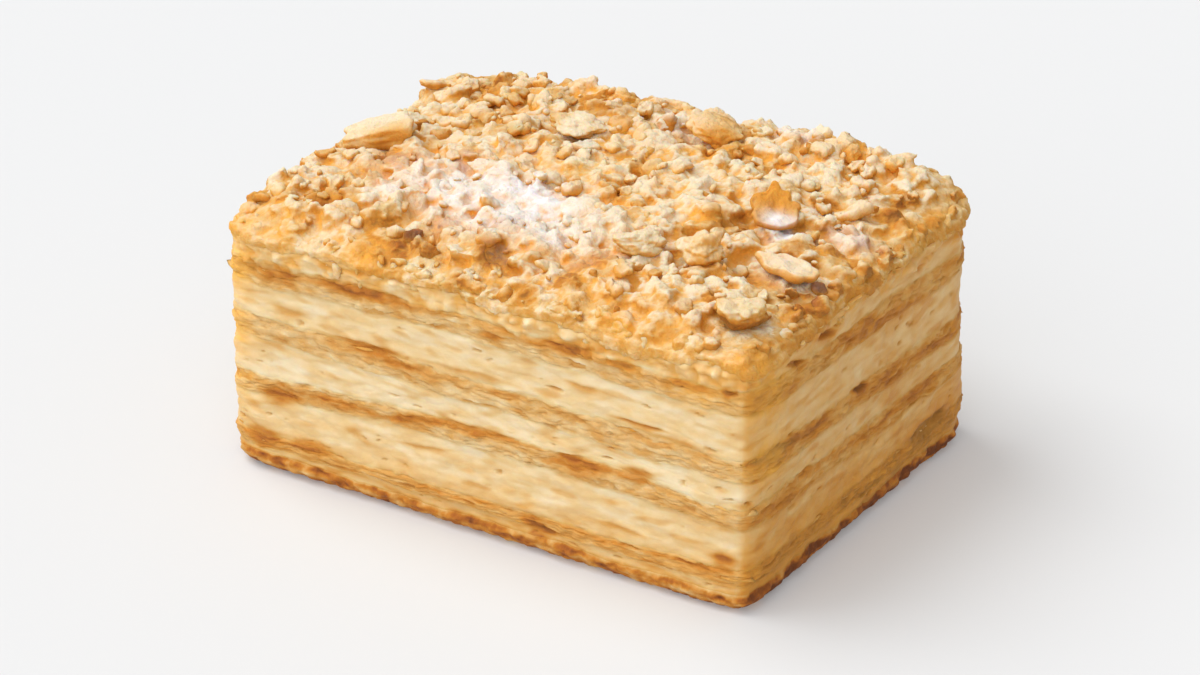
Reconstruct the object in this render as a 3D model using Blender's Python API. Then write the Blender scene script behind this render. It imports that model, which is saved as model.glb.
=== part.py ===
"""A cut slice of layered pastry: five sheets of puff pastry with custard cream between them,
under a thick cover of pastry crumbs and a few large flakes.

Metres, +Z up. The slice stands on z = 0, its long side runs along X and its front faces -Y.
Every sheet, every cream and the cover of crumbs is a closed solid that runs right through the
slice. Neighbours share one wavy interface, with a small gap between them.
"""

import math

import bmesh
import bpy
from mathutils import Vector, noise

MM = 0.001
GAP = 0.3 * MM  # left between pieces that touch

# Plan of the slice: its corners in order round it, and how far each of them is rounded.
LENGTH = 94 * MM
WIDTH = 70 * MM
HALF_X = LENGTH / 2
HALF_Y = WIDTH / 2
CORNERS = (
    (Vector((-HALF_X, -HALF_Y)), 4.5 * MM),
    (Vector((HALF_X, -HALF_Y)), 3.5 * MM),
    (Vector((HALF_X + 0.6 * MM, HALF_Y + 0.6 * MM)), 7.0 * MM),
    (Vector((-HALF_X - 0.6 * MM, HALF_Y - 0.6 * MM)), 8.0 * MM),
)
LONG_CELLS = 36  # along each long side of the crumb cover; the layers have half as many
SHORT_CELLS = 26
ARC_POINTS = 6  # in half of a rounded corner, before the sides are divided evenly
CAP_INSET = 8 * MM  # inside this the interfaces are flat

# The interfaces from the floor up: mean height, then how much higher the right end lies than
# the left, the back than the front, and the middle than both ends.
INTERFACES = tuple(
    tuple(size * MM for size in row)
    for row in (
        (0.0, 0.0, 0.0, 0.0),
        (3.1, 0.3, 0.0, 0.0),
        (4.2, 0.6, 0.0, 0.2),
        (7.0, 0.8, 0.0, -0.3),
        (12.7, 1.7, -1.6, 1.6),
        (16.3, 1.5, -1.8, 1.4),
        (21.2, -1.3, -2.8, 0.0),
        (25.0, -1.3, -3.0, 0.0),
        (31.2, 0.5, -2.8, 0.6),
        (35.2, 0.5, -2.8, 0.6),
        (40.5, 0.0, -0.5, 0.8),
    )
)
RIPPLE = 0.45 * MM  # unevenness of an interface where it shows
RIPPLE_LENGTH = 11 * MM
BASE_INSET = 1.1 * MM  # rounding of the crust's lower edge
SHOULDER = 0.9 * MM  # how far the crumbs sink below their interface at the rim

# What fills the space between two interfaces, from the floor up: how far its side stands out
# at half its height, and how uneven that side is.
CRUST = {"form": "crust", "bulge": 0.3 * MM, "roughness": 0.45 * MM}
PASTRY = {"form": "pastry", "bulge": 0.5 * MM, "roughness": 0.4 * MM}
CREAM = {"form": "cream", "bulge": -0.2 * MM, "roughness": 0.35 * MM}
LAYERS = (
    ("bottom_crust", CRUST),
    ("cream_1", CREAM),
    ("pastry_1", PASTRY),
    ("cream_2", CREAM),
    ("pastry_2", PASTRY),
    ("cream_3", CREAM),
    ("pastry_3", PASTRY),
    ("cream_4", CREAM),
    ("pastry_4", PASTRY),
    ("cream_5", CREAM),
)

# The cover of crumbs: its rim, the dome over it, its lumps, and the heaps that stand out.
RIM_HEIGHT = 43.0 * MM
RIM_RISE_X = 0.6 * MM
RIM_RISE_Y = -1.0 * MM
RIM_OVERHANG = 0.5 * MM
RIM_INSET = 1.6 * MM
DOME = 3.8 * MM
DOME_AT_BACK = 0.55  # share of the dome that is left at the back edge
LUMP = 0.9 * MM
LUMP_LENGTHS = (6.5 * MM, 3.4 * MM)
HEAPS = (  # x, y, radius, height
    (-44.5 * MM, 22.0 * MM, 3.6 * MM, 3.2 * MM),
    (22.0 * MM, 31.5 * MM, 6.0 * MM, 2.6 * MM),
    (35.0 * MM, 31.0 * MM, 7.0 * MM, 1.4 * MM),
    (3.0 * MM, 32.0 * MM, 6.0 * MM, 0.8 * MM),
    (-14.0 * MM, 30.0 * MM, 9.0 * MM, 0.9 * MM),
    (24.0 * MM, -20.0 * MM, 9.0 * MM, 0.7 * MM),
    (42.0 * MM, -31.0 * MM, 7.0 * MM, 0.8 * MM),
    (-44.0 * MM, -17.0 * MM, 9.0 * MM, 1.7 * MM),
    (-44.0 * MM, 10.0 * MM, 7.0 * MM, -1.0 * MM),
)

# The flakes large enough to be pieces of their own: centre in plan, length, width, thickness,
# turn of the long side from X, and how far one end is tipped up.
FLAKES = (
    (-38.5 * MM, -3.0 * MM, 11.0 * MM, 7.5 * MM, 1.6 * MM, 30, 14),
    (39.0 * MM, -11.0 * MM, 12.0 * MM, 7.0 * MM, 1.5 * MM, -12, 8),
    (30.0 * MM, 3.0 * MM, 9.5 * MM, 8.0 * MM, 1.3 * MM, 35, 16),
    (27.0 * MM, -14.0 * MM, 7.6 * MM, 6.8 * MM, 1.5 * MM, 10, 10),
    (40.5 * MM, -25.5 * MM, 7.8 * MM, 6.6 * MM, 1.5 * MM, 55, 12),
    (17.5 * MM, -17.5 * MM, 8.6 * MM, 5.2 * MM, 1.6 * MM, 50, 10),
    (7.5 * MM, 24.5 * MM, 9.0 * MM, 6.6 * MM, 1.8 * MM, 20, 14),
    (-12.0 * MM, 14.0 * MM, 9.2 * MM, 6.4 * MM, 1.7 * MM, 5, 8),
)
FLAKE_SIDES = 14
FLAKE_SEAT = 2.2 * MM  # the crumbs lie level this far round a flake
FLAKE_DISH = 0.10  # depth of a flake's hollow, as a share of its width
RAGGED = 0.16  # unevenness of a flake's outline, as a share of its radius

FINISHES = {  # base colour and roughness
    "crust": ((0.55, 0.30, 0.12, 1.0), 0.75),
    "pastry": ((0.72, 0.47, 0.22, 1.0), 0.65),
    "cream": ((0.89, 0.74, 0.47, 1.0), 0.45),
    "crumbs": ((0.86, 0.63, 0.35, 1.0), 0.80),
    "flake": ((0.88, 0.62, 0.37, 1.0), 0.70),
}


def uneven(point, length, seed):
    """Smooth unevenness from about -1 to 1 at a point, changing over the given length."""
    place = Vector((point[0] / length, point[1] / length, 17.3 * seed))
    return 1.6 * noise.noise(place)


def polyline_at(points, share):
    """The point at this share of the length of a line of points."""
    steps = [(b - a).length for a, b in zip(points, points[1:])]
    left = share * sum(steps)
    for start, end, step in zip(points, points[1:], steps):
        if left <= step:
            return start.lerp(end, left / step)
        left -= step
    return points[-1].copy()


def corner_arc(index):
    """The rounded corner as points, in the order of the outline."""
    corner, radius = CORNERS[index]
    before = (CORNERS[index - 1][0] - corner).normalized()
    after = (CORNERS[(index + 1) % len(CORNERS)][0] - corner).normalized()
    half_angle = before.angle(after) / 2
    centre = corner + (before + after).normalized() * radius / math.sin(half_angle)
    start = corner + before * radius / math.tan(half_angle) - centre
    turn = math.pi - 2 * half_angle
    points = []
    for step in range(2 * ARC_POINTS + 1):
        angle = turn * step / (2 * ARC_POINTS)
        cosine, sine = math.cos(angle), math.sin(angle)
        points.append(
            centre
            + Vector((start.x * cosine - start.y * sine, start.x * sine + start.y * cosine))
        )
    return points


def plan_outline():
    """Points evenly along each side, from the middle of one corner to the middle of the next."""
    arcs = [corner_arc(index) for index in range(len(CORNERS))]
    outline = []
    for index, cells in enumerate((LONG_CELLS, SHORT_CELLS) * 2):
        side = arcs[index][ARC_POINTS:] + arcs[(index + 1) % len(arcs)][: ARC_POINTS + 1]
        outline += [polyline_at(side, step / cells) for step in range(cells)]
    return outline


def outward(loop):
    """The outward direction at each point of a closed loop that runs anticlockwise."""
    directions = []
    for index, _ in enumerate(loop):
        along = loop[(index + 1) % len(loop)] - loop[index - 1]
        directions.append(Vector((along.y, -along.x)).normalized())
    return directions


def offset(loop, distance):
    """The loop moved outwards, by one distance or by a function of the point."""
    moved = []
    for point, direction in zip(loop, outward(loop)):
        by = distance(point) if callable(distance) else distance
        moved.append(point + direction * by)
    return moved


def tilted_height(level, point):
    """The height of an interface with its tilt alone."""
    mean, rise_x, rise_y, _ = INTERFACES[level]
    return mean + rise_x * point.x / LENGTH + rise_y * point.y / WIDTH


def edge_height(level, point):
    """The height of an interface at the side of the slice, where its waves show."""
    height = tilted_height(level, point)
    if level == 0:
        return height
    height += INTERFACES[level][3] * (1 - (point.x / HALF_X) ** 2)
    height += RIPPLE * uneven(point, RIPPLE_LENGTH, level)
    if level == len(INTERFACES) - 1:
        height -= SHOULDER * (1 + uneven(point, RIPPLE_LENGTH, 31))
    return height


def interface_loops(loop, level, shift):
    """The outer and the inner loop of an interface, moved up by shift."""
    outer = [Vector((*point, edge_height(level, point) + shift)) for point in loop]
    shrunk = [
        Vector((point.x * (1 - CAP_INSET / HALF_X), point.y * (1 - CAP_INSET / HALF_Y)))
        for point in loop
    ]
    inner = [Vector((*point, tilted_height(level, point) + shift)) for point in shrunk]
    return outer, inner


def add_loop(mesh, points):
    return [mesh.verts.new(point) for point in points]


def skin(mesh, near, far, flipped=False):
    """Triangles between two loops of equal length, always cut along the same diagonal."""
    count = len(near)
    for index in range(count):
        following = (index + 1) % count
        for corners in (
            (near[index], near[following], far[index]),
            (near[following], far[following], far[index]),
        ):
            mesh.faces.new(corners[::-1] if flipped else corners)


def make_object(name, form, mesh):
    """Turns a bmesh into a named object with its own material."""
    data = bpy.data.meshes.new(name)
    mesh.to_mesh(data)
    mesh.free()
    colour, roughness = FINISHES[form]
    material = bpy.data.materials.new(name)
    material.use_nodes = True
    shader = material.node_tree.nodes["Principled BSDF"]
    shader.inputs["Base Color"].default_value = colour
    shader.inputs["Roughness"].default_value = roughness
    data.materials.append(material)
    data.shade_smooth()
    data.set_sharp_from_angle(angle=math.radians(35))
    made = bpy.data.objects.new(name, data)
    bpy.context.scene.collection.objects.link(made)
    return made


def make_layer(name, kind, level, loop):
    """A sheet of pastry or cream between two interfaces, with an uneven side."""
    lower_shift = 0.0 if level == 0 else GAP / 2
    lower, lower_inner = interface_loops(loop, level, lower_shift)
    upper, upper_inner = interface_loops(loop, level + 1, -GAP / 2)
    if level == 0:
        rounded = offset(loop, -BASE_INSET)
        lower = [Vector((*point, 0.0)) for point in rounded]

    def side(point):
        return kind["bulge"] + kind["roughness"] * uneven(point, 7 * MM, 5 + level)

    middle = [
        Vector((*point, (low.z + high.z) / 2))
        for point, low, high in zip(offset(loop, side), lower, upper)
    ]
    mesh = bmesh.new()
    loops = [add_loop(mesh, points) for points in (lower_inner, lower, middle, upper, upper_inner)]
    skin(mesh, loops[1], loops[0], flipped=True)
    skin(mesh, loops[1], loops[2])
    skin(mesh, loops[2], loops[3])
    skin(mesh, loops[3], loops[4])
    mesh.faces.new(loops[0][::-1])
    mesh.faces.new(loops[4])
    return make_object(name, kind["form"], mesh)


def rim_height(point):
    """The height of the cover of crumbs along its rim."""
    return RIM_HEIGHT + RIM_RISE_X * point.x / LENGTH + RIM_RISE_Y * point.y / WIDTH


def cover_height(point):
    """The height of the crumbs' uneven top, before the flakes' seats are pressed into it."""
    across = 1 - min(1.0, abs(point.x) / HALF_X) ** 2.4
    share_y = point.y / HALF_Y
    if share_y > 0:
        along = 1 - (1 - DOME_AT_BACK) * share_y**2
    else:
        along = 1 - min(1.0, -share_y) ** 2.2
    height = rim_height(point) + DOME * across * along
    for x, y, radius, rise in HEAPS:
        distance = (point - Vector((x, y))).length / radius
        height += rise * math.exp(-(distance**2))
    for octave, length in enumerate(LUMP_LENGTHS):
        height += LUMP / (1 + octave) * uneven(point, length, 40 + octave)
    return height


def flake_frame(flake):
    """Where a flake lies: its centre, and the directions of its length, width and thickness."""
    x, y, length, width, _, turn, tip = flake
    turn, tip = math.radians(turn), math.radians(tip)
    along = Vector((math.cos(turn), math.sin(turn), math.tan(tip))).normalized()
    across = Vector((-math.sin(turn), math.cos(turn), 0.0))
    up = along.cross(across).normalized()
    samples = [
        cover_height(Vector((x, y)) + length / 3 * dx * along.xy + width / 3 * dy * across.xy)
        for dx in (-1, 0, 1)
        for dy in (-1, 0, 1)
    ]
    return Vector((x, y, sum(samples) / len(samples))), along, across, up


def seated_height(point, frames):
    """The crumbs' top with a level seat under each flake."""
    height = cover_height(point)
    for flake, (centre, along, across, up) in zip(FLAKES, frames):
        away = point - centre.xy
        reach_x = away.dot(along.xy) / (flake[2] / 2 + FLAKE_SEAT)
        reach_y = away.dot(across.xy) / (flake[3] / 2 + FLAKE_SEAT)
        reach = math.hypot(reach_x, reach_y)
        if reach >= 1.25:
            continue
        seat = centre.z - (up.x * away.x + up.y * away.y) / up.z - 2 * GAP
        hold = min(1.0, max(0.0, (1.25 - reach) / 0.25))
        height += hold * (min(height, seat) - height)
    return height


def cover_top(rim):
    """Rows of points over the crumbs' top: a patch stretched between the rim's four sides."""
    sides = []
    start = 0
    for cells in (LONG_CELLS, SHORT_CELLS) * 2:
        sides.append([rim[(start + step) % len(rim)] for step in range(cells + 1)])
        start += cells
    front, right, back, left = sides[0], sides[1], sides[2][::-1], sides[3][::-1]
    rows = []
    for j in range(SHORT_CELLS + 1):
        v = j / SHORT_CELLS
        row = []
        for i in range(LONG_CELLS + 1):
            u = i / LONG_CELLS
            ruled = front[i].lerp(back[i], v) + left[j].lerp(right[j], u)
            flat = front[0].lerp(front[-1], u).lerp(back[0].lerp(back[-1], u), v)
            row.append(ruled - flat)
        rows.append(row)
    return rows


def make_cover(outline, frames):
    """The crumbs as one solid: an overhanging, rounded rim and a lumpy, domed top."""
    loop = outline[::2]
    lower, lower_inner = interface_loops(loop, len(INTERFACES) - 1, GAP / 2)

    def overhang(point):
        return RIM_OVERHANG * (1 + uneven(point, 5 * MM, 61))

    middle = [
        Vector((*point, low.z * 0.45 + rim_height(point) * 0.55))
        for point, low in zip(offset(loop, overhang), lower)
    ]
    mesh = bmesh.new()
    inner_verts, lower_verts, middle_verts = (
        add_loop(mesh, points) for points in (lower_inner, lower, middle)
    )
    skin(mesh, lower_verts, inner_verts, flipped=True)
    skin(mesh, lower_verts, middle_verts)
    mesh.faces.new(inner_verts[::-1])

    rim = offset(outline, -RIM_INSET)
    grid = [
        [mesh.verts.new((*point, seated_height(point, frames))) for point in row]
        for row in cover_top(rim)
    ]
    for j in range(SHORT_CELLS):
        for i in range(LONG_CELLS):
            mesh.faces.new((grid[j][i], grid[j][i + 1], grid[j + 1][i + 1], grid[j + 1][i]))

    border = grid[0][:-1]
    border += [row[-1] for row in grid[:-1]]
    border += grid[-1][:0:-1]
    border += [row[0] for row in grid[:0:-1]]
    count = len(middle_verts)
    for index in range(count):
        near, following = middle_verts[index], middle_verts[(index + 1) % count]
        first, second = border[2 * index], border[2 * index + 1]
        third = border[(2 * index + 2) % len(border)]
        mesh.faces.new((near, second, first))
        mesh.faces.new((near, following, second))
        mesh.faces.new((following, third, second))
    return make_object("crumb_topping", "crumbs", mesh)


def make_flake(index, flake, frame):
    """A large flake: a thin, slightly dished piece with a ragged outline and a rounded edge."""
    _, _, length, width, thickness, _, _ = flake
    centre, along, across, up = frame
    mesh = bmesh.new()

    def ring(scale, height):
        points = []
        for side in range(FLAKE_SIDES):
            angle = 2 * math.pi * side / FLAKE_SIDES
            ragged = 1 + RAGGED * uneven((math.cos(angle), math.sin(angle)), 0.8, 70 + index)
            reach = scale * ragged
            dish = FLAKE_DISH * width * (reach**2 - 0.5)
            points.append(
                centre
                + along * (length / 2 * reach * math.cos(angle))
                + across * (width / 2 * reach * math.sin(angle))
                + up * (height * thickness + max(dish, 0.0))
            )
        return add_loop(mesh, points)

    rings = [ring(0.45, 0.0), ring(0.85, 0.05), ring(1.0, 0.5), ring(0.88, 1.0), ring(0.45, 0.95)]
    for lower, upper in zip(rings, rings[1:]):
        skin(mesh, lower, upper)
    mesh.faces.new(rings[0][::-1])
    mesh.faces.new(rings[-1])
    return make_object(f"flake_{index + 1}", "flake", mesh)


def centre_on_base(pieces):
    """Moves the pieces so that the middle of the slice's box stands over the origin."""
    corners = [Vector(corner) for piece in pieces for corner in piece.bound_box]
    for axis in (0, 1):
        values = [corner[axis] for corner in corners]
        middle = (min(values) + max(values)) / 2
        for piece in pieces:
            piece.location[axis] = -middle


def main():
    for leftover in list(bpy.data.objects):
        bpy.data.objects.remove(leftover)
    outline = plan_outline()
    loop = outline[::2]
    frames = [flake_frame(flake) for flake in FLAKES]
    pieces = [
        make_layer(name, kind, level, loop) for level, (name, kind) in enumerate(LAYERS)
    ]
    pieces.append(make_cover(outline, frames))
    pieces += [
        make_flake(index, flake, frame)
        for index, (flake, frame) in enumerate(zip(FLAKES, frames))
    ]
    centre_on_base(pieces)


main()
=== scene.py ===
"""Looks of the layered pastry slice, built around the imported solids.

The cut sides are one continuous relief of baked leaves and cream, shared out over one closed piece
per layer. The cover is a bed of crumbs with several thousand single crumbs and flakes laid on it.
Shapes are worked out in millimetres and written to Blender in metres. The front is the side towards
-Y, and the right side the one towards +X.
"""

import math

import bmesh
import bpy
import numpy as np
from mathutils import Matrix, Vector
from mathutils.bvhtree import BVHTree
from mathutils.kdtree import KDTree


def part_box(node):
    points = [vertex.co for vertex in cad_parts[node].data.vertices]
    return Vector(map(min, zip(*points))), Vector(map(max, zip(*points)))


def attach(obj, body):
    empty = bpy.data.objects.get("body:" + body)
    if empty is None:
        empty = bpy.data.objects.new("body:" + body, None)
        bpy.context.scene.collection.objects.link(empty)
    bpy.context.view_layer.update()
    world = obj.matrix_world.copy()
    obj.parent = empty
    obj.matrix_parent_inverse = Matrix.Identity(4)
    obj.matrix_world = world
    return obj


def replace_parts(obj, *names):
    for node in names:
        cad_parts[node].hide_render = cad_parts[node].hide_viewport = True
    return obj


MM = 0.001
LAYERS = (
    "bottom_crust",
    "cream_1",
    "pastry_1",
    "cream_2",
    "pastry_2",
    "cream_3",
    "pastry_3",
    "cream_4",
    "pastry_4",
    "cream_5",
)
LOOP_POINTS = 62  # points round the side of each solid
COLUMNS = 660  # points round the side of each dressed piece
ROW_HEIGHT = {"pastry": 0.15, "cream": 0.27, "bottom": 0.2}

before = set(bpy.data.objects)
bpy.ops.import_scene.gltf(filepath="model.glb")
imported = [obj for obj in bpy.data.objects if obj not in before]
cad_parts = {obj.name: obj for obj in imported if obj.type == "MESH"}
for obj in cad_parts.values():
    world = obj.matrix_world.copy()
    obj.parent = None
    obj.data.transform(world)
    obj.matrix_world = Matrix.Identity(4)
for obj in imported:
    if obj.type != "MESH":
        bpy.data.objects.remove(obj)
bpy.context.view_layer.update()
rng = np.random.default_rng(11)


# ---------------------------------------------------------------- noise

_order = np.random.default_rng(3).permutation(256)
_order = np.concatenate([_order, _order])
_slopes = np.random.default_rng(4).normal(size=(256, 3))
_slopes /= np.linalg.norm(_slopes, axis=1)[:, None]


def noise(points, scale, seed=0):
    """Smooth noise from about -1 to 1 at each point, with features of the given size."""
    p = points / np.asarray(scale, float) + np.array([7.31, 3.17, 5.73]) * seed
    cell = np.floor(p).astype(np.int64)
    part = p - cell
    fade = part**3 * (part * (part * 6 - 15) + 10)
    total = np.zeros(len(p))
    for corner in range(8):
        step = np.array([corner & 1, corner >> 1 & 1, corner >> 2 & 1])
        c = (cell + step) & 255
        pick = _order[_order[_order[c[:, 0]] + c[:, 1]] + c[:, 2]]
        weight = np.prod(np.where(step, fade, 1 - fade), axis=1)
        total += weight * np.einsum("ij,ij->i", _slopes[pick], part - step)
    return total * 1.55


_centres = np.random.default_rng(5).uniform(0.1, 0.9, (256, 3))


def lumps(points, size, seed=0, broken=0.0):
    """Irregular domes that meet in creases, from 0 in the creases to 1, of the given size.

    broken tilts and shifts each dome on its own, so that neighbours meet in steps.
    """
    warp = np.stack([noise(points, (size,) * 3, seed + k) for k in range(3)], axis=1)
    p = points / size + 0.32 * warp + np.array([5.13, 9.71, 2.37]) * seed
    cell = np.floor(p).astype(np.int64)
    first, second = np.full(len(p), 9.0), np.full(len(p), 9.0)
    shift = np.zeros(len(p))
    for step in np.ndindex(3, 3, 3):
        near = cell + np.array(step) - 1
        c = near & 255
        pick = _order[_order[_order[c[:, 0]] + c[:, 1]] + c[:, 2]]
        apart = p - near - _centres[pick]
        away = np.linalg.norm(apart, axis=1)
        second = np.minimum(second, np.maximum(first, away))
        closer = away < first
        slope = _slopes[pick[closer]]
        shift[closer] = np.einsum("ij,ij->i", slope, apart[closer]) + 0.5 * slope[:, 0]
        first = np.minimum(first, away)
    domes = 0.6 * np.clip(1 - first**2, 0, 1) + 0.4 * smooth_step(0, 0.35, second - first)
    return domes + broken * shift


def smooth_step(low, high, values):
    t = np.clip((values - low) / (high - low), 0, 1)
    return t * t * (3 - 2 * t)


# ---------------------------------------------------------------- the solids' shape


def side_loops(name):
    """The lower, middle and upper loop round the side of a layer's solid, in the same order."""
    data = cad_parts[name].data
    points = np.empty(len(data.vertices) * 3)
    data.vertices.foreach_get("co", points)
    points = np.unique(np.round(points.reshape(-1, 3) / MM, 4), axis=0)
    half = np.abs(points[:, :2]).max(axis=0)
    outer = points[(np.abs(points[:, :2]) / half).max(axis=1) > 0.9]
    angles = np.arctan2(outer[:, 1] / half[1], outer[:, 0] / half[0])
    groups = outer[np.argsort(angles)].reshape(LOOP_POINTS, 3, 3)
    groups = np.take_along_axis(groups, np.argsort(groups[:, :, 2], axis=1)[:, :, None], axis=1)
    return groups[:, 0], groups[:, 1], groups[:, 2]


def spline(values, at):
    """A smooth closed curve through the values, read at these places along it."""
    count = len(values)
    start = np.floor(at).astype(int)
    t = (at - start).reshape((-1,) + (1,) * (values.ndim - 1))
    a, b, c, d = (values[(start + step) % count] for step in (-1, 0, 1, 2))
    return b + 0.5 * t * (c - a + t * (2 * a - 5 * b + 4 * c - d + t * (3 * (b - c) + d - a)))


def outward_normals(loop):
    along = np.roll(loop, -1, axis=0) - np.roll(loop, 1, axis=0)
    along /= np.linalg.norm(along, axis=1)[:, None]
    return np.stack([along[:, 1], -along[:, 0]], axis=1)


class Outline:
    """The plan of the cut sides: evenly spaced columns round the slice."""

    def __init__(self, loop, columns):
        fine = np.arange(0, len(loop), 0.02)
        points = spline(loop, fine)
        steps = np.linalg.norm(np.roll(points, -1, axis=0) - points, axis=1)
        travelled = np.concatenate([[0], np.cumsum(steps)])
        wanted = np.arange(columns) * travelled[-1] / columns
        self.at = np.interp(wanted, travelled, np.append(fine, len(loop)))
        self.points = spline(loop, self.at)
        self.outward = outward_normals(self.points)
        self.half = np.abs(self.points).max(axis=0)
        self.turn = np.arctan2(
            self.points[:, 1] / self.half[1], self.points[:, 0] / self.half[0]
        )

    def read(self, values):
        """Values given at the solid's loop points, at each column."""
        return spline(np.asarray(values, float), self.at)

    def towards(self, turn, values):
        """Values given at each column, in each direction as if the slice were square."""
        if values.ndim > 1:
            return np.stack([self.towards(turn, v) for v in values.T], axis=-1)
        return np.interp(turn, self.turn, values, period=math.tau)

    def reach(self, x, y):
        """How far out each place is: 0 in the middle, 1 on the outline."""
        edge = self.towards(np.arctan2(y / self.half[1], x / self.half[0]), self.points)
        return np.hypot(x, y) / np.hypot(edge[..., 0], edge[..., 1])


loops = [side_loops(name) for name in LAYERS]
plan = np.mean([np.stack([low[:, :2], high[:, :2]]) for low, _, high in loops[1:]], axis=(0, 1))
outline = Outline(plan, COLUMNS)


def interface_heights():
    """The height of each interface at each column, with waves that both neighbours share."""
    heights = [np.zeros(COLUMNS)]
    for (_, _, below), (above, _, _) in zip(loops, loops[1:]):
        heights.append(outline.read((below[:, 2] + above[:, 2]) / 2))
    heights.append(outline.read(loops[-1][2][:, 2]))
    for level, height in enumerate(heights[1:], 1):
        place = np.column_stack([outline.points, np.full(COLUMNS, 30.0 * level)])
        height += 0.30 * noise(place, (7, 7, 1), 5) + 0.14 * noise(place, (2.2, 2.2, 1), 6)
    return heights


heights = interface_heights()
bulges = [
    outline.read(
        np.einsum("ij,ij->i", middle[:, :2] - (low + high)[:, :2] / 2, outward_normals(plan))
    )
    for low, middle, high in loops
]


# ---------------------------------------------------------------- mesh helpers


def make_mesh(name, points, quads, triangles):
    """A mesh from arrays: points in millimetres and faces."""
    mesh = bpy.data.meshes.new(name)
    mesh.vertices.add(len(points))
    mesh.vertices.foreach_set("co", (points * MM).astype(np.float32).ravel())
    quads = np.asarray(quads, np.int32).reshape(-1, 4)
    triangles = np.asarray(triangles, np.int32).reshape(-1, 3)
    corners = np.concatenate([quads.ravel(), triangles.ravel()])
    mesh.loops.add(len(corners))
    mesh.loops.foreach_set("vertex_index", corners)
    starts = np.concatenate(
        [np.arange(len(quads)) * 4, len(quads) * 4 + np.arange(len(triangles)) * 3]
    )
    mesh.polygons.add(len(starts))
    mesh.polygons.foreach_set("loop_start", starts.astype(np.int32))
    mesh.update(calc_edges=True)
    mesh.validate()
    return mesh


def sharpen(mesh, chosen):
    """Keep the edges between these points crisp."""
    edges = np.empty(len(mesh.edges) * 2, np.int32)
    mesh.edges.foreach_get("vertices", edges)
    layer = mesh.attributes.new("sharp_edge", "BOOLEAN", "EDGE")
    layer.data.foreach_set("value", chosen[edges.reshape(-1, 2)].all(axis=1))


def make_piece(mesh, material, values):
    """An object that shows this mesh, with named values per point for its material."""
    mesh.shade_smooth()
    for key, numbers in values.items():
        layer = mesh.attributes.new(key, "FLOAT", "POINT")
        layer.data.foreach_set("value", np.clip(numbers, 0, 1).astype(np.float32))
    mesh.materials.append(material)
    piece = bpy.data.objects.new(mesh.name, mesh)
    bpy.context.scene.collection.objects.link(piece)
    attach(piece, "root")
    return piece


def band(lower, upper):
    """Quads between two rings of point numbers that run the same way."""
    return np.stack([lower, np.roll(lower, -1), np.roll(upper, -1), upper], axis=1)


def fan(centre, ring, upward):
    """Triangles from a ring of point numbers to a centre point."""
    following = np.roll(ring, -1)
    first, second = (ring, following) if upward else (following, ring)
    return np.stack([first, second, np.full(len(ring), centre)], axis=1)


def patches(points, table):
    """The strongest of several round patches at each point: x, y, z, radius, strength."""
    total = np.zeros(len(points))
    for x, y, z, radius, strength in table:
        away = ((points - (x, y, z)) ** 2).sum(axis=1) / radius**2
        patch = strength * np.exp(-(away**1.3))
        total = np.where(np.abs(patch) > np.abs(total), patch, total)
    return total


# ---------------------------------------------------------------- materials

# The colours of dough and cream from unbaked to dark, linear. The same ramp also paints shade, where
# the browning values carry painted shade.
BROWNING_AND_SHADE = (
    (0.00, (0.82, 0.69, 0.465)),
    (0.20, (0.74, 0.525, 0.25)),
    (0.42, (0.64, 0.345, 0.095)),
    (0.64, (0.54, 0.205, 0.020)),
    (0.82, (0.38, 0.112, 0.010)),
    (1.00, (0.17, 0.045, 0.006)),
)
# Butter yellow, also mixed in as painted warm shade on the right side.
BUTTER_GOLD_AND_SHADE = (0.88, 0.44, 0.060, 1)
# The crumbs' golden orange: butter-soaked spots, and painted orange shade on their sides and in
# hollows.
CRUMB_GOLD_AND_SHADE = (0.89, 0.41, 0.055, 1)
SUGAR_WHITE = (0.87, 0.83, 0.81, 1)


def ramp(nodes, stops):
    node = nodes.new("ShaderNodeValToRGB")
    elements = node.color_ramp.elements
    while len(elements) < len(stops):
        elements.new(0.5)
    for element, (place, colour) in zip(elements, stops):
        element.position = place
        element.color = (*colour, 1)
    return node


def math_node(nodes, links, operation, *inputs, clamp=False):
    node = nodes.new("ShaderNodeMath")
    node.operation = operation
    node.use_clamp = clamp
    for socket, value in zip(node.inputs, inputs):
        if isinstance(value, (int, float)):
            socket.default_value = value
        else:
            links.new(value, socket)
    return node.outputs[0]


def noise_texture(nodes, links, size, detail, stretch):
    """Noise in object space, with features of this size in millimetres."""
    place = nodes.new("ShaderNodeTexCoord")
    mapping = nodes.new("ShaderNodeMapping")
    mapping.inputs["Scale"].default_value = stretch
    links.new(place.outputs["Object"], mapping.inputs["Vector"])
    node = nodes.new("ShaderNodeTexNoise")
    node.inputs["Scale"].default_value = 1 / (size * MM)
    node.inputs["Detail"].default_value = detail
    node.inputs["Roughness"].default_value = 0.6
    links.new(mapping.outputs["Vector"], node.inputs["Vector"])
    return node.outputs["Fac"]


def attribute(nodes, name):
    node = nodes.new("ShaderNodeAttribute")
    node.attribute_name = name
    return node.outputs["Fac"]


def varied(nodes, links, value, size, detail, stretch, amount):
    """A value with noise of this height added to it."""
    fine = noise_texture(nodes, links, size, detail, stretch)
    fine = math_node(nodes, links, "SUBTRACT", fine, 0.5)
    fine = math_node(nodes, links, "MULTIPLY", fine, amount)
    return math_node(nodes, links, "ADD", value, fine, clamp=True)


def blend(nodes, links, factor, first, colour):
    mix = nodes.new("ShaderNodeMix")
    mix.data_type = "RGBA"
    links.new(factor, mix.inputs["Factor"])
    links.new(first, mix.inputs["A"])
    mix.inputs["B"].default_value = colour
    return mix.outputs["Result"]


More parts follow.
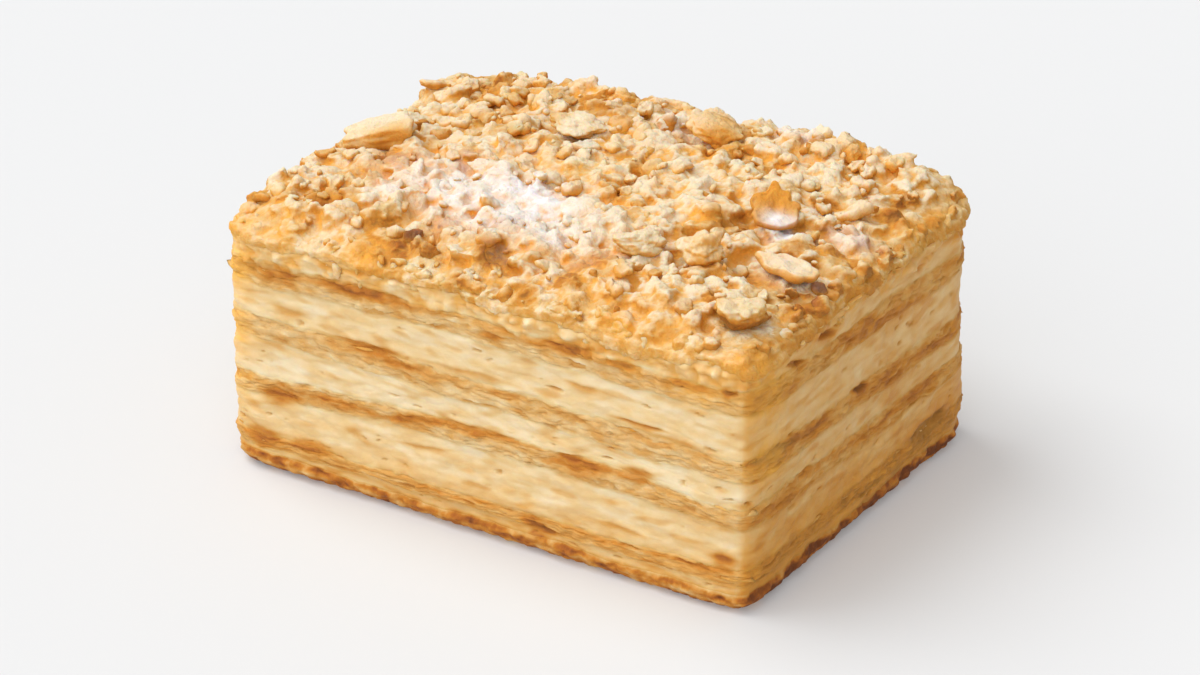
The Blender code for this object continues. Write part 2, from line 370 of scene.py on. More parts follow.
def food_material(name, roughness, glow, mottle, grain, stretch, gold_and_shade=BUTTER_GOLD_AND_SHADE, sugared=False):
    """Baked dough or cream, from what the mesh says and fine noise.

    mottle is the size and strength of the colour's noise, and grain the size and depth of the
    surface's, in millimetres. glow is the share of light that passes under the surface.
    """
    material = bpy.data.materials.new(name)
    material.use_nodes = True
    nodes, links = material.node_tree.nodes, material.node_tree.links
    shader = nodes["Principled BSDF"]
    shader.inputs["Roughness"].default_value = roughness
    shader.inputs["Specular IOR Level"].default_value = 0.3
    shader.inputs["Subsurface Weight"].default_value = glow
    shader.inputs["Subsurface Radius"].default_value = (1.0, 0.5, 0.2)
    shader.inputs["Subsurface Scale"].default_value = 1.1 * MM
    # the browning and gold values from the mesh carry painted shade as well as baking and butter
    toast_and_shade = varied(nodes, links, attribute(nodes, "toast_and_shade"), mottle[0], 4, stretch, mottle[1])
    browned_and_shaded = ramp(nodes, BROWNING_AND_SHADE)
    links.new(toast_and_shade, browned_and_shaded.inputs["Fac"])
    colour = blend(nodes, links, attribute(nodes, "gold_and_shade"), browned_and_shaded.outputs["Color"], gold_and_shade)
    if sugared:
        sugar = varied(nodes, links, attribute(nodes, "sugar"), 0.9, 3, stretch, 0.25)
        sugar = math_node(nodes, links, "MULTIPLY", sugar, attribute(nodes, "sugar"))
        sugar = math_node(nodes, links, "POWER", sugar, 0.5, clamp=True)
        colour = blend(nodes, links, sugar, colour, SUGAR_WHITE)
    links.new(colour, shader.inputs["Base Color"])
    bump = nodes.new("ShaderNodeBump")
    bump.inputs["Distance"].default_value = grain[1] * MM
    links.new(noise_texture(nodes, links, grain[0], 5, stretch), bump.inputs["Height"])
    links.new(bump.outputs["Normal"], shader.inputs["Normal"])
    return material


SIDE_MATERIAL = {
    "pastry": food_material("pastry_baked", 0.65, 0.15, (1.7, 0.30), (0.7, 0.22), (1, 1, 1.3)),
    "cream": food_material("custard_cream", 0.5, 0.28, (2.0, 0.14), (1.0, 0.14), (1, 1, 1.2)),
    "bottom": food_material("crust_baked", 0.7, 0.1, (1.4, 0.40), (0.8, 0.30), (1, 1, 1)),
}
CRUMB_MATERIAL = food_material(
    "crumb_baked", 0.75, 0.4, (0.9, 0.30), (0.7, 0.6), (1, 1, 1), CRUMB_GOLD_AND_SHADE, sugared=True
)


# ---------------------------------------------------------------- the cut sides

SIDES = {"F": (0, 1, -1), "R": (1, 0, 1), "B": (0, 1, 1), "L": (1, 0, -1)}
# For each side: the axis along it, the axis across it, and the sign of its outward direction.

# Streaks of browned leaf and slits that stand out on the front (F) and the right side (R): place
# along the side, height, half length, half width, rise per length, browning, depth. Where a
# streak is a deep slit, its browning is partly painted shade in the slit.
STREAKS = (
    ("F", -36, 35.3, 4.5, 1.1, 0.02, 0.50, 0.1),
    ("F", -20, 36.4, 9.0, 0.8, 0.02, 0.52, 0.2),
    ("F", 2.5, 35.3, 2.6, 0.5, 0.0, 0.45, 0.2),
    ("F", 16, 37.0, 6.0, 0.8, 0.17, 0.62, 0.3),
    ("F", 26, 36.8, 2.0, 0.6, 0.0, 0.42, 0.2),
    ("F", 37, 36.5, 4.5, 0.8, -0.02, 0.30, 0.1),
    ("F", 43.2, 36.9, 0.9, 0.5, 0.0, 0.70, 0.3),
    ("F", -34.5, 29.4, 3.0, 0.7, 0.0, 0.36, 0.1),
    ("F", 19, 30.8, 3.6, 0.4, -0.05, 0.36, 0.3),
    ("F", 9, 32.4, 1.6, 0.6, 0.0, 0.25, 0.1),
    ("F", -20, 27.4, 8.0, 0.5, 0.0, 0.60, 0.4),
    ("F", -2, 27.8, 9.0, 0.45, 0.02, 0.34, 0.2),
    ("F", -8, 25.9, 10, 0.8, 0.02, 0.26, 0.1),
    ("F", 28.5, 27.3, 4.4, 0.3, 0.03, 0.75, 0.8),
    ("F", 36.5, 26.2, 6.0, 0.7, -0.01, 0.28, 0.1),
    ("F", -36, 14.6, 4.5, 1.1, 0.05, 0.62, 0.2),
    ("F", -26, 15.8, 8.0, 0.8, 0.03, 0.44, 0.1),
    ("F", -12, 17.0, 5.0, 0.8, 0.14, 0.48, 0.2),
    ("F", -1, 18.5, 9.0, 0.45, 0.02, 0.56, 0.3),
    ("F", 18, 17.8, 5.6, 1.0, 0.14, 0.48, 0.2),
    ("F", 28.2, 19.5, 2.6, 0.7, 0.05, 0.66, 0.3),
    ("F", 36, 15.4, 9.0, 1.2, -0.03, 0.22, 0.0),
    ("F", -10, 12.7, 5.0, 0.3, 0.12, 0.34, 0.3),
    ("F", -40, 6.4, 3.4, 1.0, 0.0, 0.48, 0.1),
    ("F", -31, 7.0, 4.0, 0.7, 0.04, 0.36, 0.1),
    ("F", 10.8, 5.4, 3.4, 0.6, -0.08, 0.70, 0.6),
    ("F", 26, 8.9, 5.0, 0.35, -0.03, 0.34, 0.3),
    ("F", 43, 8.9, 2.0, 0.9, 0.0, 0.66, 0.4),
    ("R", -28.5, 34.6, 7.0, 1.4, -0.18, 0.48, 0.1),
    ("R", -13, 37.8, 2.8, 0.7, -0.15, 0.70, 1.8),
    ("R", -22, 36.8, 3.2, 0.4, -0.25, 0.60, 1.2),
    ("R", 4, 32.8, 12, 1.1, -0.10, 0.42, 0.1),
    ("R", 16, 36.6, 1.2, 0.5, 0.0, 0.40, 0.5),
    ("R", -28, 24.8, 6.5, 1.3, -0.08, 0.74, 0.3),
    ("R", -16, 23.5, 6.0, 0.8, -0.02, 0.36, 0.2),
    ("R", -2.3, 24.0, 2.4, 0.5, -0.12, 0.80, 1.1),
    ("R", 6, 21.6, 9.0, 1.4, -0.15, 0.32, 0.0),
    ("R", 20, 21.4, 9.0, 0.7, -0.10, 0.42, 0.2),
    ("R", -26, 15.4, 9.0, 0.9, -0.13, 0.30, 0.1),
    ("R", 2, 15.4, 9.0, 0.5, -0.05, 0.38, 0.2),
    ("R", 16, 15.8, 7.0, 0.9, -0.04, 0.42, 0.2),
    ("R", 20, 7.9, 6.0, 0.9, 0.03, 0.80, 1.2),
)

BASE_TUCK = 1.7  # how far the crust's foot draws in
CORNER_TUCK = 1.4  # how much further it draws in at the corners, where the base is rounded

# Where the sides stand out or draw in: x, y, z, radius, how far.
SWELLS = (
    (47.5, 35.5, 8.5, 5.5, 0.9),
    (47.5, 35.5, 0.5, 3.0, -0.8),
    (47.5, 35.5, 28.6, 1.6, 0.9),
    (47.5, 35.5, 22.0, 6.0, -0.5),
    (47.5, 35.5, 37.0, 6.0, -0.5),
    (-47.5, -35.0, 41.0, 5.0, -0.6),
    (-47.5, -35.0, 24.5, 3.0, -0.5),
)

# Yellow, butter-soaked places: x, y, z, radius, strength.
GOLDEN = (
    (-46, -34, 34.2, 5.0, 0.75),
    (-46, -34, 23.0, 5.0, 0.75),
    (-46, -34, 43.5, 7.0, 0.80),
    (-38, -35, 44.0, 5.0, 0.55),
    (-21, -35, 43.0, 4.0, 0.60),
    (-30, -35, 43.0, 2.5, 0.40),
    (25, -35, 43.5, 3.5, 0.80),
    (7, -35, 45.5, 3.0, 0.45),
    (44, -35, 41.5, 2.5, 0.70),
    (47, -32, 41.0, 3.0, 0.60),
    (47, -29, 35.0, 6.0, 0.45),
    (47, -29, 24.5, 5.0, 0.45),
    (47, 16, 43.5, 3.5, 0.35),
    (47, 24, 43.5, 3.5, 0.35),
    (39, -35, 36.5, 4.0, 0.30),
    (-45, -34, 14.0, 4.0, 0.35),
    (46, -34, 45.2, 3.2, 0.80),
    (28.2, 4.0, 49.2, 3.6, 0.65),
)


def own_streaks():
    """Streaks of the same kind for the back (B) and the left side (L)."""
    made = []
    for level, name in enumerate(LAYERS):
        if not name.startswith("pastry"):
            continue
        low, high = np.mean(heights[level]), np.mean(heights[level + 1])
        for side, half, count in (("B", 42, 8), ("L", 30, 6)):
            for n in range(count):
                along = -half + 2 * half * (n + rng.uniform(0, 1)) / count
                height = rng.uniform(0.35 * low + 0.65 * high, high - 0.6)
                length, width = rng.uniform(2.5, 9.0), rng.uniform(0.4, 1.0)
                rise, brown = rng.uniform(-0.06, 0.06), rng.uniform(0.3, 0.65)
                made.append((side, along, height, length, width, rise, brown, 0.5 * brown))
    return made


all_streaks = list(STREAKS) + own_streaks()


def streak_fields(points, outward):
    """Browning and depth that the streaks add at each point of the sides; in deep slits the browning
    is partly painted shade.
    """
    browning = np.zeros(len(points))
    depth = np.zeros(len(points))
    ragged = 0.45 * noise(points, (3.5, 3.5, 0.7), 21) + 0.25 * noise(points, (1.3, 1.3, 0.5), 23)
    wander = 0.45 * noise(points, (5, 5, 6), 22)
    for side, along, height, half_length, half_width, rise, brown, deep in all_streaks:
        axis, across, sign = SIDES[side]
        near = outward[:, across] * sign > 0.55
        near &= np.abs(points[:, axis] - along) < 1.6 * half_length
        near &= np.abs(points[:, 2] - height) < 5
        if not near.any():
            continue
        u = (points[near, axis] - along) / half_length
        v = points[near, 2] - height - rise * (points[near, axis] - along) + wander[near]
        v /= half_width * np.where(v > 0, 0.9, 1.7) * (1.15 - 0.6 * np.clip(u**2, 0, 1))
        strength = np.exp(-((u**2) ** 1.6) - np.abs(v) ** 1.8) * (1 + 0.8 * ragged[near])
        browning[near] = np.maximum(browning[near], brown * np.clip(strength, 0, 1))
        sharp = smooth_step(0.45, 0.9, strength)
        depth[near] = np.maximum(depth[near], deep * sharp)
    return browning, depth


def leaf_relief(points, level, low, high):
    """Relief, browning and painted crevice shade of a stack of thin baked leaves between two
    heights.
    """
    share = (points[:, 2] - low) / (high - low)
    stack = share * 4.6
    stack += 1.3 * noise(points, (9, 9, 5), 31 + level)
    stack += 0.8 * noise(points, (3.2, 3.2, 2), 32 + level)
    stack += 0.3 * noise(points, (1.3, 1.3, 1), 33 + level)
    leaf = np.floor(stack)
    part = stack - leaf
    of_leaf = np.column_stack([points[:, :2], leaf * 9.7 + level * 50])
    out = 0.28 * noise(of_leaf, (5, 5, 1), 33) + 0.18 * noise(of_leaf, (1.8, 1.8, 1), 34)
    out += 0.34 * lumps(points * (0.6, 0.6, 1), 1.3, 12, 0.4) - 0.15
    missing = smooth_step(0.30, 0.5, noise(of_leaf, (5, 5, 1), 35))
    crevice = smooth_step(0.28, 0.5, np.abs(part - 0.5))
    crevice *= smooth_step(-0.1, 0.5, noise(of_leaf, (2.6, 2.6, 1), 36))
    out -= 0.22 * crevice + 0.28 * missing
    brown = 0.30 + 0.14 * noise(of_leaf, (7, 7, 1), 37)
    brown += 0.12 * noise(of_leaf, (2.6, 2.6, 1), 38) + 0.12 * noise(points, (3, 3, 1.2), 39)
    top_line = np.exp(-(((share - 0.78) / 0.18) ** 2))
    brown += 0.18 * top_line * smooth_step(-0.4, 0.5, noise(points, (12, 12, 9), 40))
    # painted shade: crevices between leaves and gaps where a leaf is missing are painted browner
    brown += 0.07 * crevice + 0.10 * missing
    return out, brown


def cream_relief(points):
    """Relief and tint of cut cream: low lumps and smears along the side, and a few pores painted
    darker as shade.
    """
    out = 0.26 * noise(points, (6, 6, 2.6), 41) + 0.16 * noise(points, (2.6, 2.6, 1.6), 42)
    out += 0.18 * lumps(points * (0.6, 0.6, 1), 1.7, 13, 0.4) - 0.1
    pores = smooth_step(0.50, 0.62, noise(points, (2.0, 2.0, 0.9), 44))
    pores *= smooth_step(0.05, 0.3, noise(points, (12, 12, 5), 45))
    out -= 0.5 * pores
    tint = 0.14 + 0.12 * noise(points, (8, 8, 2.0), 46) + 0.10 * noise(points, (3, 3, 1.2), 47)
    # the pores' share of the tint is painted shade
    tint += 0.18 * smooth_step(0.15, 0.6, noise(points, (5, 5, 1.6), 48)) + 0.22 * pores
    return out, np.maximum(tint, 0)


def crust_relief(points):
    """Relief and browning of the crumbly bottom crust."""
    rough = noise(points, (2.4, 2.4, 1.4), 51) + 0.5 * noise(points, (1.2, 1.2, 0.8), 52)
    out = 0.35 * rough + 0.5 * lumps(points, 2.0, 14) - 0.25
    # darker where the fine relief is low, lighter where it is raised
    brown = 0.69 + 0.38 * noise(points, (3.4, 3.4, 1.6), 54) - 0.22 * rough
    return out, brown + 0.16 * noise(points, (0.9, 0.9, 0.6), 55)


def relief_of(level, points, columns):
    """A layer's own relief and browning, read anywhere on the side."""
    name = LAYERS[level]
    if name.startswith("cream"):
        return cream_relief(points)
    if name.startswith("pastry"):
        low, high = (
            np.broadcast_to(heights[k], (len(points) // columns, columns)).ravel()
            for k in (level, level + 1)
        )
        return leaf_relief(points, level, low, high)
    return crust_relief(points)


def side_surface(level, rows):
    """The side's surface within one layer, with its browning and painted shade, row by row from
    below.
    """
    low, high = heights[level], heights[level + 1]
    share = np.repeat(np.linspace(0, 1, rows), COLUMNS)
    column = np.tile(np.arange(COLUMNS), rows)
    low, high = low[column], high[column]
    points = np.column_stack([outline.points[column], low + (high - low) * share])
    outward = outline.outward[column]
    out, brown = relief_of(level, points, COLUMNS)
    # each filling creeps over its neighbour's edge a little, the same seen from both layers
    creep = 0.18 * noise(points, (1.8, 1.8, 1.3), 61) + 0.45 * noise(points, (8, 8, 4), 62)
    soft = 0.30 + 0.45 * smooth_step(-0.3, 0.5, noise(points, (10, 10, 8), 63))
    for other, away in ((level - 1, points[:, 2] - low), (level + 1, high - points[:, 2])):
        if not 0 <= other < len(LAYERS):
            continue
        sign = -1 if LAYERS[level].startswith("cream") else 1
        own = smooth_step(-soft, soft, away + sign * creep)
        other_out, other_brown = relief_of(other, points, COLUMNS)
        out = other_out + (out - other_out) * own
        brown = other_brown + (brown - other_brown) * own
    streaked, deep = streak_fields(points, outward)
    brown = np.clip(brown, 0, 1) * (1 - 0.5 * streaked) + 0.9 * streaked
    out += 0.22 * noise(points, (17, 17, 9), 64) - 0.5 * deep + patches(points, SWELLS)
    out += 0.35 * bulges[level][column] * 4 * share * (1 - share)
    if level == 0:
        out -= BASE_TUCK * np.clip(1 - points[:, 2] / 2.4, 0, 1) ** 1.6
        points[share == 0, 2] = 0
    corner = smooth_step(0.86, 1.0, np.abs(points[:, 0]) / outline.half[0])
    corner *= smooth_step(0.80, 1.0, np.abs(points[:, 1]) / outline.half[1])
    front_right = (points[:, 0] > 0) & (points[:, 1] < 0)
    corner *= np.where(front_right, 0.35, 1)
    out -= CORNER_TUCK * corner * np.clip(1 - points[:, 2] / 6, 0, 1) ** 1.6
    gold_and_shade = patches(points, GOLDEN) * (1 + 0.4 * noise(points, (3, 3, 1.5), 65))
    crumbly = noise(points, (4.5, 4.5, 3.0), 66) + 0.5 * noise(points, (1.6, 1.6, 1.3), 67)
    # how much a point faces right, away from the light
    shaded = smooth_step(0.3, 0.9, outward[:, 0])
    under = points[:, 2] - heights[-1][column] - 1.5 * shaded
    near_cover = smooth_step(-5.5, -1.0, under + 2.6 * crumbly)
    grown = 1.8 * np.abs(noise(points, (2.6,) * 3, 69)) + 0.9 * np.abs(noise(points, (1.3,) * 3, 68))
    out += near_cover * (0.70 * grown * smooth_step(0, -1.5, under) - 0.05)
    brown += near_cover * (0.32 - 0.22 * grown)
    base = 1 - smooth_step(3.0, 16, points[:, 2] + 2 * crumbly)
    # painted shade: here and in the gold below, the right side, away from the light, is painted
    # browner and more golden, most near the foot. Apart from the crust, every side is also browner
    # and more golden towards the bottom.
    brown += shaded * (0.18 + 0.20 * base) * (1 if level else 0.6) + 0.18 * base * (level > 0)
    gold_and_shade = np.maximum(gold_and_shade, near_cover * (0.44 - 0.40 * grown))
    gold_and_shade += (shaded * (0.13 + 0.20 * base) + 0.08 * base) * (level > 0)
    points[:, :2] += outward * out[:, None]
    return points, brown, gold_and_shade


def plane_at(values, places):
    """The height at each place of a plane through the values at the side."""
    system = np.column_stack([outline.points, np.ones(COLUMNS)])
    slope = np.linalg.lstsq(system, values, rcond=None)[0]
    return np.column_stack([places, np.ones(len(places))]) @ slope


def layer_piece(level):
    """One layer as a closed piece: its relief at the side, and plain hidden faces."""
    name = LAYERS[level]
    form = name.split("_")[0]
    low, high = heights[level], heights[level + 1]
    rows = max(6, round(np.max(high - low) / ROW_HEIGHT[form]) + 1)
    surface, brown, gold_and_shade = side_surface(level, rows)
    inset, gap = 0.82, 0.12
    inner = outline.points * inset
    bottom = np.column_stack([inner, plane_at(low, inner) + (gap if level else 0)])
    top = np.column_stack([inner, plane_at(high, inner) - gap])
    middles = [[0, 0, bottom[:, 2].mean()], [0, 0, top[:, 2].mean()]]
    points = np.concatenate([bottom, surface, top, middles])
    rings = np.arange((rows + 2) * COLUMNS).reshape(rows + 2, COLUMNS)
    quads = np.concatenate([band(lower, upper) for lower, upper in zip(rings, rings[1:])])
    triangles = np.concatenate(
        [fan(len(points) - 2, rings[0], False), fan(len(points) - 1, rings[-1], True)]
    )
    hidden = np.full(COLUMNS, 0.2)
    values = {
        "toast_and_shade": np.concatenate([hidden, brown, hidden, [0.2, 0.2]]),
        "gold_and_shade": np.concatenate([hidden * 0, gold_and_shade, hidden * 0, [0, 0]]),
    }
    mesh = make_mesh(name + "_side", points, quads, triangles)
    ends = np.zeros(len(points), bool)
    ends[[*rings[1], *rings[-2]]] = True
    sharpen(mesh, ends)
    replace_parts(make_piece(mesh, SIDE_MATERIAL[form], values), name)


# ---------------------------------------------------------------- the crumb cover

CELL = 0.4  # spacing of the height map that the crumbs settle on
BED_DEPTH = 1.3  # how far the bed lies under the solid's top
SKIN_DETAIL = 0.44  # size of the smallest shapes that the grown-together crumbs keep
OUTSIDE = -100.0
half_x, half_y = outline.half

# Places where the cover is browned most: x, y, z, radius, strength.
TOASTED = (
    (-35, -6, 46, 5.0, 0.22),
    (-30, -9, 46, 3.5, 0.34),
    (-35, 21, 46, 3.5, 0.22),
    (-17.5, 26, 47, 3.5, 0.24),
    (-12, 29.5, 47, 3.5, 0.24),
    (-11, 21.5, 47, 3.5, 0.24),
    (7.5, 28, 47, 3.5, 0.26),
    (10.5, 19.5, 47, 4.0, 0.42),
    (20.5, 28.5, 47, 3.0, 0.28),
    (-7, 11, 47, 3.0, 0.22),
    (-16.5, 12.5, 47, 3.0, 0.22),
    (-20, 5.5, 47, 3.5, 0.22),
    (-29, 9, 46, 3.0, 0.18),
    (4.5, -5, 47, 1.5, 0.40),
    (23, -4.5, 46, 3.5, 0.42),
    (28.2, 4.0, 49.2, 3.6, 0.16),
    (-34.5, -6.5, 48.5, 3.2, 0.40),
    (36, -3, 46, 3.0, 0.34),
    (30.5, -17, 46, 3.0, 0.20),
    (36, -27, 45, 3.0, 0.20),
    (46, -34, 45.2, 2.6, 0.24),
    (45, -16, 44, 3.0, 0.36),
    (-33, -25, 45, 3.5, 0.26),
    (-2.5, -22, 46, 3.0, 0.34),
    (-2, -29, 45, 3.0, 0.50),
    (-15, -32, 45, 3.5, 0.28),
    (15, -25, 46, 3.5, 0.30),
    (8, -34, 44.5, 2.5, 0.30),
    (15, -34, 44.5, 2.0, 0.26),
    (-21, -34, 44.5, 2.5, 0.26),
    (33, -35, 43.5, 2.5, 0.24),
    (43, 15, 45, 3.0, 0.42),
    (46, 21, 44, 3.0, 0.36),
)

# Where the cover stands higher or lower: x, y, z, radius, how much.
RISES = (
    (40, 33, 0, 7, 1.0),
    (31, 35, 0, 4, 0.6),
    (22, 35, 0, 5, 0.5),
    (-45, -8, 0, 6, 1.2),
    (-46, 19, 0, 5, -1.2),
    (-46, -33, 0, 5, -0.4),
)

# Where sugar lies: x, y, half length, half width, turn in degrees, strength.
SUGAR = (
    (-10, -15, 20, 9, -12, 0.76),
    (-5, -12, 8, 5, -20, 1.0),
    (4, -21.5, 4, 3, 0, 0.70),
    (-25, -19, 4, 3, 0, 0.55),
    (31.8, 0.0, 3.0, 2.2, 0, 1.5),
    (41, 6, 4.5, 3.5, 10, 0.50),
    (38, -10, 6, 3, -20, 0.45),
    (-2, 24, 5, 3, 0, 0.35),
    (17, 30, 5, 3, 0, 0.40),
)


class HeightMap:
    """The rising top of the cover, on which each crumb comes to rest."""

    def __init__(self):
        self.x = np.arange(-half_x - 3, half_x + 3, CELL)
        self.y = np.arange(-half_y - 3, half_y + 3, CELL)
        self.grid_x, self.grid_y = np.meshgrid(self.x, self.y, indexing="ij")
        self.inside = outline.reach(self.grid_x, self.grid_y) <= 1
        places = np.column_stack([self.grid_x.ravel(), self.grid_y.ravel()])
        self.places = np.column_stack([places, np.zeros(len(places))])
        self.solid = self.solid_heights() + patches(self.places, RISES).reshape(self.grid_x.shape)
        self.clumps = self.clump_heights()
        self.now = np.where(self.inside, self.solid - BED_DEPTH + self.clumps, OUTSIDE)
        self.taken = np.zeros_like(self.now)

    def solid_heights(self):
        """The top of the CAD cover at each place; places past its edge take the edge's height."""
        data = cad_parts["crumb_topping"].data
        corners = [v.co / MM for v in data.vertices]
        tree = BVHTree.FromPolygons(corners, [tuple(face.vertices) for face in data.polygons])
        reach = np.maximum(outline.reach(self.grid_x, self.grid_y), 1e-6)
        pull = np.minimum(1, 0.985 / reach)
        found = np.zeros(self.grid_x.size)
        places = zip((self.grid_x * pull).ravel(), (self.grid_y * pull).ravel())
        for n, (x, y) in enumerate(places):
            found[n] = tree.ray_cast(Vector((x, y, 200)), Vector((0, 0, -1)))[0].z
        return found.reshape(self.grid_x.shape)

    def clump_heights(self):
        """Clumps of crumbs with dips between them, as heights to add to the cover."""
        made = 1.5 * lumps(self.places, 8, 18) - 1.0 + 0.5 * noise(self.places, (15, 15, 1), 19)
        reach = outline.reach(self.grid_x, self.grid_y)
        calm = 1 - 0.6 * smooth_step(0.75, 0.95, reach)
        return made.reshape(reach.shape) * calm

    def read(self, values, x, y):
        """A map's value at each place, between its cells."""
        i = np.clip((x - self.x[0]) / CELL, 0, len(self.x) - 1.001)
        j = np.clip((y - self.y[0]) / CELL, 0, len(self.y) - 1.001)
        a, b = np.floor(i).astype(int), np.floor(j).astype(int)
        s, t = i - a, j - b
        near = values[a, b] * (1 - s) + values[a + 1, b] * s
        far = values[a, b + 1] * (1 - s) + values[a + 1, b + 1] * s
        return near * (1 - t) + far * t

    def take(self, x, y, length, width, turn):
        """Keep an oval place free of crumbs."""
        u = (self.grid_x - x) * math.cos(turn) + (self.grid_y - y) * math.sin(turn)
        v = (self.grid_y - y) * math.cos(turn) - (self.grid_x - x) * math.sin(turn)
        self.taken[(u / length) ** 2 + (v / width) ** 2 < 1] = 1

    def settle(self, x, y, radius, height, sink, limit):
        """The height at which a crumb comes to rest, or None if it would be buried."""
        i0, i1 = np.searchsorted(self.x, (x - radius, x + radius))
        j0, j1 = np.searchsorted(self.y, (y - radius, y + radius))
        window = self.now[i0:i1, j0:j1]
        away = (self.grid_x[i0:i1, j0:j1] - x) ** 2 + (self.grid_y[i0:i1, j0:j1] - y) ** 2
        away /= radius**2
        held = window > 0
        under = window[(away < 0.7) & held]
        if not len(under):
            return None
        z = 0.5 * under.mean() + 0.5 * under.max() + height * (1 - 2 * sink)
        x, y = np.array(x), np.array(y)
        limit -= 1.1 * smooth_step(0.80, 0.97, outline.reach(x, y))
        limit -= 1.2 * smooth_step(1.55, 1.85, abs(x) / half_x + abs(y) / half_y)
        roof = self.read(self.solid, x, y) + 0.8 * self.read(self.clumps, x, y)
        z = min(z, float(roof) + limit - height)
        if z + 0.6 * height < under.mean():
            return None
        roof = z + height * np.sqrt(np.clip(1 - away, 0, 1))
        raised = (away < 1) & held & (roof > window)
        window[raised] = roof[raised]
        return z


cover = HeightMap()


def blurred(values, cells):
    """A map smoothed over this many cells each way, from what lies inside the outline."""
    weight = cover.inside.astype(float)
    total = np.where(cover.inside, values, 0)
    for axis in (0, 1):
        for _ in range(cells):
            total = total + np.roll(total, 1, axis) + np.roll(total, -1, axis)
            weight = weight + np.roll(weight, 1, axis) + np.roll(weight, -1, axis)
    return np.where(weight > 0, total / np.maximum(weight, 1e-9), cover.solid)


def sugar_on(points, up, hollow, toast_and_shade):
    """How much sugar lies on each point: on what faces up, in patches, and a little all over."""
    lying = smooth_step(0.0, 0.75, up) * smooth_step(41.5, 44, points[:, 2])
    patch = np.zeros(len(points))
    for x, y, length, width, turn, strength in SUGAR:
        angle = math.radians(turn)
        u = (points[:, 0] - x) * math.cos(angle) + (points[:, 1] - y) * math.sin(angle)
        v = (points[:, 1] - y) * math.cos(angle) - (points[:, 0] - x) * math.sin(angle)
        away = (u / length) ** 2 + (v / width) ** 2
        patch = np.maximum(patch, strength * np.exp(-0.9 * away**1.5))
    patch *= 1 + 0.45 * noise(points, (2.4, 2.4, 2.4), 82)
    dust = 0.10 + 0.22 * noise(points, (6, 6, 6), 83)
    # sugar lies thinner in hollows and on browned spots, so that their painted shade shows
    patch *= 1 - 0.35 * smooth_step(0.2, 0.9, hollow)
    dust *= (1 - smooth_step(-0.1, 0.6, hollow)) * np.clip(1.2 - 2 * toast_and_shade, 0, 1)
    return np.maximum(patch, dust) * lying


def crumb_values(points, tone, up, hollow):
    """Browning, gold and sugar of crumbs: palest on top, golden on their sides and in hollows.
    The gold and extra browning on their sides and in hollows is painted shade.

    hollow runs from -1 on the highest places to 1 in the deepest.
    """
    steep = 1 - smooth_step(0.0, 0.85, up)
    low = 1 - smooth_step(41, 43.5, points[:, 2])
    edge = np.exp(-(((points[:, 2] - 43.6) / 1.8) ** 2))
    # painted shade: hollows and steep sides are painted browner
    toast_and_shade = tone - 0.18 + 0.22 * hollow + 0.24 * steep + 1.5 * patches(points, TOASTED)
    # a browner band round the rim, most on its steep faces, is partly painted shade
    toast_and_shade += (0.66 + 1.1 * noise(points, (4.5, 4.5, 3), 79)) * edge * (0.3 + 0.7 * steep)
    # painted shade: the cover's right edge, away from the light, is painted browner
    toast_and_shade += 0.22 * smooth_step(half_x - 5, half_x - 1, points[:, 0])
    toast_and_shade += 0.10 * noise(points, (1.8, 1.8, 1.8), 81) + 0.08 * noise(points, (7, 7, 7), 80)
    gold_and_shade = patches(points, GOLDEN) * (1 + 0.4 * noise(points, (3, 3, 3), 84))
    gold_and_shade = np.maximum(gold_and_shade, 0.11 + 0.30 * noise(points, (7, 7, 7), 85))
    # painted shade: hollows and steep sides are painted golden orange, less on the cover's lower
    # sides
    gold_and_shade += (0.80 * np.maximum(hollow + 0.1, 0) + 0.36 * steep) * (1 - 0.6 * low)
    gold_and_shade *= 1 - 0.25 * edge
    return {"toast_and_shade": toast_and_shade, "gold_and_shade": gold_and_shade, "sugar": sugar_on(points, up, hollow, toast_and_shade)}


def sunk(points, ground):
    """How far each point lies under the ground near it, from -0.6 to 1."""
    level = cover.read(ground, points[:, 0], points[:, 1])
    return np.clip((level - points[:, 2]) / 1.6, -0.6, 1)


def vertex_normals(points, faces):
    a, b, c = (points[faces[:, k]] for k in range(3))
    normals = np.zeros_like(points)
    face_normals = np.cross(b - a, c - a)
    for k in range(3):
        np.add.at(normals, faces[:, k], face_normals)
    return normals / np.maximum(np.linalg.norm(normals, axis=1), 1e-9)[:, None]


def ball(level):
    """Unit directions and triangles of a ball of evenly spread points."""
    made = bmesh.new()
    bmesh.ops.create_icosphere(made, subdivisions=level, radius=1)
    directions = np.array([v.co[:] for v in made.verts])
    faces = np.array([[v.index for v in face.verts] for face in made.faces])
    made.free()
    return directions / np.linalg.norm(directions, axis=1)[:, None], faces


def chunk(directions, seed):
    """A broken crumb about 2 across: a ball cut by planes, then roughened."""
    draw = np.random.default_rng(seed)
    normals = draw.normal(size=(11, 3))
    normals /= np.linalg.norm(normals, axis=1)[:, None]
    facing = np.maximum(directions @ normals.T, 0.02)
    cut = draw.uniform(0.55, 1.0, 11) / facing
    radius = (1 + np.sum(cut**-18.0, axis=1)) ** (-1 / 18)
    radius *= 1 + sum(
        height * noise(directions, (size,) * 3, seed + n)
        for n, (size, height) in enumerate(((0.9, 0.22), (0.45, 0.16), (0.22, 0.09)))
    )
    return directions * radius[:, None]


